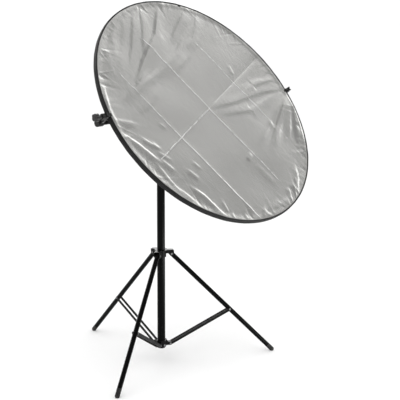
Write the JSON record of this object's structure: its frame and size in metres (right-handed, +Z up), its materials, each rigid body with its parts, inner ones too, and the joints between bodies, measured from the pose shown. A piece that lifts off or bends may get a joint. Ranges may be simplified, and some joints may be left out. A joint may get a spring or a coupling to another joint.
{
  "type": "collapsible reflector disc on a stand",
  "caption": "Round collapsible silver reflector with a black zipped edge, gripped by a telescoping holder arm with a tilting, panning head on a folding tripod light stand.",
  "frame": {"origin": "on the floor, on the vertical axis of the stand's column", "axes": "+Z up along the column; -Y towards the front, where the silver face looks at 37 degrees above the horizon; +X to the right of the stand seen from the front"},
  "size_m": [0.9901, 1.0868, 1.5174],
  "materials": {
    "black_tube": "gloss",
    "black_casting": "satin",
    "black_sheet_metal": "satin",
    "rivet_steel": "satin",
    "spring_steel": "satin",
    "aluminium": "satin",
    "knob_plastic": "matte",
    "glide_plastic": "matte",
    "foot_rubber": "matte",
    "silver_fabric": "metallic",
    "back_fabric": "matte",
    "diffuser_fabric": "translucent",
    "black_tape": "matte",
    "zip_coil": "satin",
    "zip_metal": "gloss"
  },
  "bodies": {
    "column": {"base_tube": "black_tube", "column_plug": "black_casting", "lower_collar": "black_sheet_metal", "collar_screw": "rivet_steel", "base_lock": "black_casting"},
    "leg_collar": {"leg_collar": "black_sheet_metal", "leg_collar_sleeve": "black_sheet_metal", "leg_collar_rivets": "rivet_steel"},
    "leg_collar_knob": {"leg_collar_knob": "knob_plastic"},
    "base_lock_knob": {"base_lock_knob": "knob_plastic"},
    "mid_section": {"mid_tube": "black_tube", "mid_glide": "glide_plastic", "mid_lock": "black_casting"},
    "mid_lock_knob": {"mid_lock_knob": "knob_plastic"},
    "top_section": {"top_tube": "black_tube", "top_glide": "glide_plastic", "top_spigot": "aluminium"},
    "head_base": {"head_base": "black_casting"},
    "pan_knob": {"pan_knob": "knob_plastic"},
    "head_clamp": {"head_clamp": "black_casting", "tilt_bolt": "rivet_steel"},
    "tilt_knob": {"tilt_knob": "knob_plastic"},
    "arm_lock_knob": {"arm_lock_knob": "knob_plastic"},
    "arm": {"arm_tube": "black_tube", "arm_collar": "black_casting", "left_post": "black_casting", "left_pins": "rivet_steel", "spring_hoop": "spring_steel", "diffuser_panel": "diffuser_fabric", "diffuser_sleeve": "black_tape", "silver_cover": "silver_fabric", "back_cover": "back_fabric", "edge_binding": "black_tape", "zip_chain": "zip_coil", "zip_end_tab": "black_tape"},
    "arm_collar_knob": {"arm_collar_knob": "knob_plastic"},
    "arm_rod": {"arm_rod": "black_tube", "rod_glide": "glide_plastic", "right_post": "black_casting", "right_pins": "rivet_steel"},
    "left_clamp_knob": {"left_clamp_knob": "knob_plastic"},
    "left_front_jaw": {"left_front_jaw": "black_casting"},
    "left_back_jaw": {"left_back_jaw": "black_casting"},
    "right_front_jaw": {"right_front_jaw": "black_casting"},
    "right_back_jaw": {"right_back_jaw": "black_casting"},
    "zip_slider": {"zip_slider": "zip_metal"},
    "zip_pull": {"zip_pull": "zip_metal"},
    "leg_1": {"leg_1_tube": "black_tube", "leg_1_foot": "foot_rubber"},
    "brace_1": {"brace_1_bars": "black_sheet_metal", "brace_1_rivets": "rivet_steel"},
    "leg_2": {"leg_2_tube": "black_tube", "leg_2_foot": "foot_rubber"},
    "brace_2": {"brace_2_bars": "black_sheet_metal", "brace_2_rivets": "rivet_steel"},
    "leg_3": {"leg_3_tube": "black_tube", "leg_3_foot": "foot_rubber"},
    "brace_3": {"brace_3_bars": "black_sheet_metal", "brace_3_rivets": "rivet_steel"}
  },
  "joints": [
    {"name": "leg_collar_slide", "type": "slide", "parent": "column", "child": "leg_collar", "axis": [0, 0, 1], "range_m": [0, 0.26265]},
    {"name": "leg_1_fold", "type": "hinge", "parent": "leg_collar", "child": "leg_1", "pos_m": [0.0431, 0.00885, 0.4643], "axis": [-0.2011, 0.9796, 0], "range_deg": [0, 44.7]},
    {"name": "brace_1_fold", "type": "hinge", "parent": "column", "child": "brace_1", "pos_m": [0.0381, 0.00782, 0.0651], "axis": [0.2011, -0.9796, 0], "range_deg": [0, 61.2]},
    {"name": "leg_2_fold", "type": "hinge", "parent": "leg_collar", "child": "leg_2", "pos_m": [-0.02921, 0.0329, 0.4643], "axis": [-0.7478, -0.6639, 0], "range_deg": [0, 44.7]},
    {"name": "brace_2_fold", "type": "hinge", "parent": "column", "child": "brace_2", "pos_m": [-0.02583, 0.02909, 0.0651], "axis": [0.7478, 0.6639, 0], "range_deg": [0, 61.2]},
    {"name": "leg_3_fold", "type": "hinge", "parent": "leg_collar", "child": "leg_3", "pos_m": [-0.01389, -0.04175, 0.4643], "axis": [0.9489, -0.3156, 0], "range_deg": [0, 44.7]},
    {"name": "brace_3_fold", "type": "hinge", "parent": "column", "child": "brace_3", "pos_m": [-0.01228, -0.03691, 0.0651], "axis": [-0.9489, 0.3156, 0], "range_deg": [0, 61.2]},
    {"name": "leg_collar_knob_turn", "type": "hinge", "parent": "leg_collar", "child": "leg_collar_knob", "pos_m": [0.00979, 0.02942, 0.466], "axis": [0.3156, 0.9489, 0], "range_deg": [0, 360]},
    {"name": "base_lock_knob_turn", "type": "hinge", "parent": "column", "child": "base_lock_knob", "pos_m": [-0.02499, 0.02306, 0.813], "axis": [-0.7349, 0.6782, 0], "range_deg": [0, 360]},
    {"name": "mid_section_slide", "type": "slide", "parent": "column", "child": "mid_section", "axis": [0, 0, 1], "range_m": [0, 0.6]},
    {"name": "mid_lock_knob_turn", "type": "hinge", "parent": "mid_section", "child": "mid_lock_knob", "pos_m": [-0.02278, 0.02102, 0.9], "axis": [-0.7349, 0.6782, 0], "range_deg": [0, 360]},
    {"name": "top_section_slide", "type": "slide", "parent": "mid_section", "child": "top_section", "axis": [0, 0, 1], "range_m": [0, 0.6]},
    {"name": "head_pan", "type": "hinge", "parent": "top_section", "child": "head_base", "pos_m": [0, 0, 0.984], "axis": [0, 0, 1], "continuous": true},
    {"name": "pan_knob_turn", "type": "hinge", "parent": "head_base", "child": "pan_knob", "pos_m": [-0.01764, 0.01628, 0.984], "axis": [-0.7349, 0.6782, 0], "range_deg": [0, 360]},
    {"name": "boom_tilt", "type": "hinge", "parent": "head_base", "child": "head_clamp", "pos_m": [0, 0, 1.026], "axis": [0.7349, -0.6782, 0], "range_deg": [-20, 45]},
    {"name": "tilt_knob_turn", "type": "hinge", "parent": "head_clamp", "child": "tilt_knob", "pos_m": [-0.00977, 0.00902, 1.026], "axis": [-0.7349, 0.6782, 0], "range_deg": [0, 360]},
    {"name": "arm_lock_knob_turn", "type": "hinge", "parent": "head_clamp", "child": "arm_lock_knob", "pos_m": [-0.01984, 0.01831, 1.0625], "axis": [-0.7349, 0.6782, 0], "range_deg": [0, 360]},
    {"name": "arm_roll", "type": "hinge", "parent": "head_clamp", "child": "arm", "pos_m": [0, 0, 1.0625], "axis": [0.678, 0.7347, 0.0227], "range_deg": [-50, 27]},
    {"name": "arm_collar_knob_turn", "type": "hinge", "parent": "arm", "child": "arm_collar_knob", "pos_m": [0.21099, 0.25325, 1.05721], "axis": [-0.5745, 0.5489, -0.6072], "range_deg": [0, 360]},
    {"name": "arm_rod_slide", "type": "slide", "parent": "arm", "child": "arm_rod", "axis": [0.678, 0.7347, 0.0227], "range_m": [0, 0.22]},
    {"name": "left_clamp_knob_turn", "type": "hinge", "parent": "arm", "child": "left_clamp_knob", "pos_m": [-0.21978, -0.2944, 1.08337], "axis": [-0.678, -0.7347, -0.0227], "range_deg": [0, 360]},
    {"name": "left_front_jaw_swing", "type": "hinge", "parent": "arm", "child": "left_front_jaw", "pos_m": [-0.19954, -0.28125, 1.08846], "axis": [0.4586, -0.3987, -0.7942], "range_deg": [0, 30]},
    {"name": "left_back_jaw_swing", "type": "hinge", "parent": "arm", "child": "left_back_jaw", "pos_m": [-0.21879, -0.26287, 1.06811], "axis": [-0.4586, 0.3987, 0.7942], "range_deg": [0, 8]},
    {"name": "right_front_jaw_swing", "type": "hinge", "parent": "arm_rod", "child": "right_front_jaw", "pos_m": [0.57654, 0.55977, 1.11443], "axis": [-0.4586, 0.3987, 0.7942], "range_deg": [0, 30]},
    {"name": "right_back_jaw_swing", "type": "hinge", "parent": "arm_rod", "child": "right_back_jaw", "pos_m": [0.55729, 0.57816, 1.09408], "axis": [0.4586, -0.3987, -0.7942], "range_deg": [0, 8]},
    {"name": "zip_slider_run", "type": "hinge", "parent": "arm", "child": "zip_slider", "pos_m": [0.19198, 0.137, 1.07059], "axis": [0.5745, -0.5489, 0.6072], "range_deg": [0, 92]},
    {"name": "zip_pull_flip", "type": "hinge", "parent": "zip_slider", "child": "zip_pull", "pos_m": [0.03464, 0.45315, 1.50521], "axis": [0.5745, -0.5489, 0.6072], "range_deg": [0, 150]}
  ],
  "couplings": [
    {"joint": "leg_1_fold", "follows": "leg_collar_slide", "rad_per_m": 2.9637},
    {"joint": "brace_1_fold", "follows": "leg_collar_slide", "rad_per_m": 4.0601},
    {"joint": "leg_2_fold", "follows": "leg_collar_slide", "rad_per_m": 2.9637},
    {"joint": "brace_2_fold", "follows": "leg_collar_slide", "rad_per_m": 4.0601},
    {"joint": "leg_3_fold", "follows": "leg_collar_slide", "rad_per_m": 2.9637},
    {"joint": "brace_3_fold", "follows": "leg_collar_slide", "rad_per_m": 4.0601}
  ]
}
